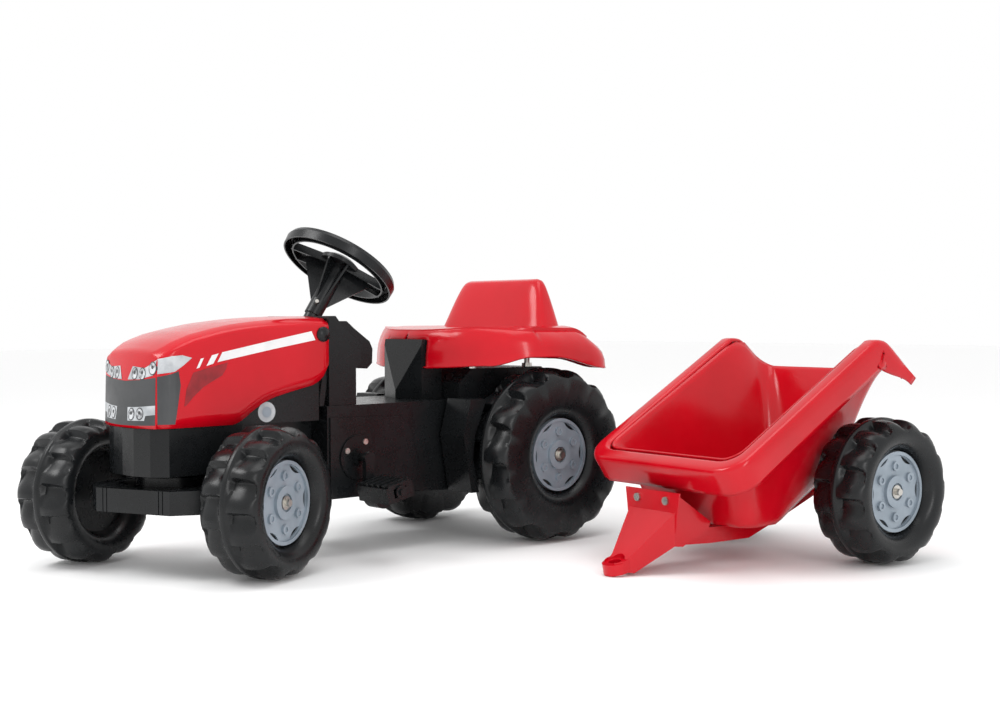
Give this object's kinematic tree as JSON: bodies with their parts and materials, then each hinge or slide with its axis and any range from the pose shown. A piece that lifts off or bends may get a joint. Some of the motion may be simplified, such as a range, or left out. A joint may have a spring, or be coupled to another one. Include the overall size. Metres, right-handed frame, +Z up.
{
  "type": "pedal tractor with trailer",
  "caption": "Child's pedal tractor with a steered front axle, chain-driven rear axle and turning pedals, with a separate two-wheel tipping trailer parked beside it.",
  "frame": {"origin": "centre of the bounding box footprint, on the floor", "axes": "-Y is the front of the tractor, +X is its driver's left, +Z is up"},
  "size_m": [0.9652, 1.121, 0.5129],
  "materials": {
    "body_black": "satin moulded black plastic",
    "tyre_black": "satin blow-moulded hard plastic",
    "shell_red": "gloss moulded red plastic",
    "disc_grey": "satin silver-grey plastic",
    "bush_grey": "natural nylon",
    "zinc_steel": "zinc-plated steel"
  },
  "bodies": {
    "chassis": {"chassis_shell": "body_black", "dash_tower": "body_black", "seat_pedestal": "body_black", "wheel_guards": "body_black", "hood": "shell_red", "hood_plugs": "body_black", "seat": "shell_red", "seat_bolts": "zinc_steel", "crank_covers": "body_black", "cover_screws": "zinc_steel", "crank_bushes": "bush_grey", "rear_axle_bushes": "bush_grey", "column_bush": "body_black", "chain": "zinc_steel", "kingpin": "zinc_steel", "kingpin_clip": "zinc_steel", "hitch_bracket": "body_black", "hitch_pin": "zinc_steel"},
    "steering_wheel": {"steering_wheel": "body_black", "steering_column": "zinc_steel", "column_pin": "zinc_steel"},
    "front_axle": {"axle_beam": "body_black", "front_axle_rod": "zinc_steel", "front_push_nuts": "zinc_steel"},
    "wheel_front_left": {"tyre_front_left": "tyre_black", "disc_front_left": "disc_grey"},
    "wheel_front_right": {"tyre_front_right": "tyre_black", "disc_front_right": "disc_grey"},
    "crank": {"crank": "body_black", "crank_sprocket": "zinc_steel", "pedal_push_nuts": "body_black"},
    "pedal_left": {"pedal_left": "body_black"},
    "pedal_right": {"pedal_right": "body_black"},
    "rear_axle": {"rear_axle_rod": "zinc_steel", "rear_sprocket": "zinc_steel", "rear_push_nuts": "zinc_steel", "tyre_rear_right": "tyre_black", "disc_rear_right": "disc_grey"},
    "wheel_rear_left": {"tyre_rear_left": "tyre_black", "disc_rear_left": "disc_grey"},
    "trailer_axle": {"trailer_axle_rod": "zinc_steel", "trailer_push_nuts": "zinc_steel"},
    "trailer": {"trailer_tub": "shell_red", "trailer_drawbar": "shell_red", "trailer_screws": "zinc_steel"},
    "trailer_wheel_left": {"tyre_trailer_left": "tyre_black", "disc_trailer_left": "disc_grey"},
    "trailer_wheel_right": {"tyre_trailer_right": "tyre_black", "disc_trailer_right": "disc_grey"}
  },
  "joints": [
    {"name": "steering", "type": "hinge", "parent": "chassis", "child": "steering_wheel", "pos_m": [-0.2486, -0.08316, 0.458], "axis": [0, 0.5548, 0.832], "range_deg": [-108.56, 8.56]},
    {"name": "front_axle_turn", "type": "hinge", "parent": "chassis", "child": "front_axle", "pos_m": [-0.2486, -0.38516, 0.109], "axis": [0, 0, 1], "range_deg": [-48.3, 3.9]},
    {"name": "wheel_front_left_spin", "type": "hinge", "parent": "front_axle", "child": "wheel_front_left", "pos_m": [-0.09398, -0.32206, 0.109], "axis": [0.9259, 0.3778, 0], "continuous": true},
    {"name": "wheel_front_right_spin", "type": "hinge", "parent": "front_axle", "child": "wheel_front_right", "pos_m": [-0.40322, -0.44826, 0.109], "axis": [0.9259, 0.3778, 0], "continuous": true},
    {"name": "crank_spin", "type": "hinge", "parent": "chassis", "child": "crank", "pos_m": [-0.2486, -0.11716, 0.154], "axis": [1, 0, 0], "continuous": true},
    {"name": "pedal_left_spin", "type": "hinge", "parent": "crank", "child": "pedal_left", "pos_m": [-0.0876, -0.11716, 0.109], "axis": [1, 0, 0], "continuous": true},
    {"name": "pedal_right_spin", "type": "hinge", "parent": "crank", "child": "pedal_right", "pos_m": [-0.4096, -0.11716, 0.199], "axis": [1, 0, 0], "continuous": true},
    {"name": "rear_axle_spin", "type": "hinge", "parent": "chassis", "child": "rear_axle", "pos_m": [-0.2486, 0.21184, 0.143], "axis": [1, 0, 0], "continuous": true},
    {"name": "wheel_rear_left_spin", "type": "hinge", "parent": "chassis", "child": "wheel_rear_left", "pos_m": [-0.0816, 0.21184, 0.143], "axis": [1, 0, 0], "continuous": true},
    {"name": "trailer_roll", "type": "slide", "parent": "chassis", "child": "trailer_axle", "axis": [0.0941, 0.9956, 0], "range_m": [-0.08, 0.35]},
    {"name": "trailer_tip", "type": "hinge", "parent": "trailer_axle", "child": "trailer", "pos_m": [0.264, 0.43444, 0.109], "axis": [-0.9956, 0.0941, 0], "range_deg": [0, 60]},
    {"name": "trailer_wheel_left_spin", "type": "hinge", "parent": "trailer_axle", "child": "trailer_wheel_left", "pos_m": [0.42628, 0.4191, 0.109], "axis": [0.9956, -0.0941, 0], "continuous": true},
    {"name": "trailer_wheel_right_spin", "type": "hinge", "parent": "trailer_axle", "child": "trailer_wheel_right", "pos_m": [0.10172, 0.44978, 0.109], "axis": [0.9956, -0.0941, 0], "continuous": true}
  ],
  "couplings": [
    {"joint": "front_axle_turn", "follows": "steering", "ratio": 0.44399},
    {"joint": "pedal_left_spin", "follows": "crank_spin", "ratio": -1},
    {"joint": "pedal_right_spin", "follows": "crank_spin", "ratio": -1},
    {"joint": "rear_axle_spin", "follows": "crank_spin", "ratio": 1.5}
  ]
}
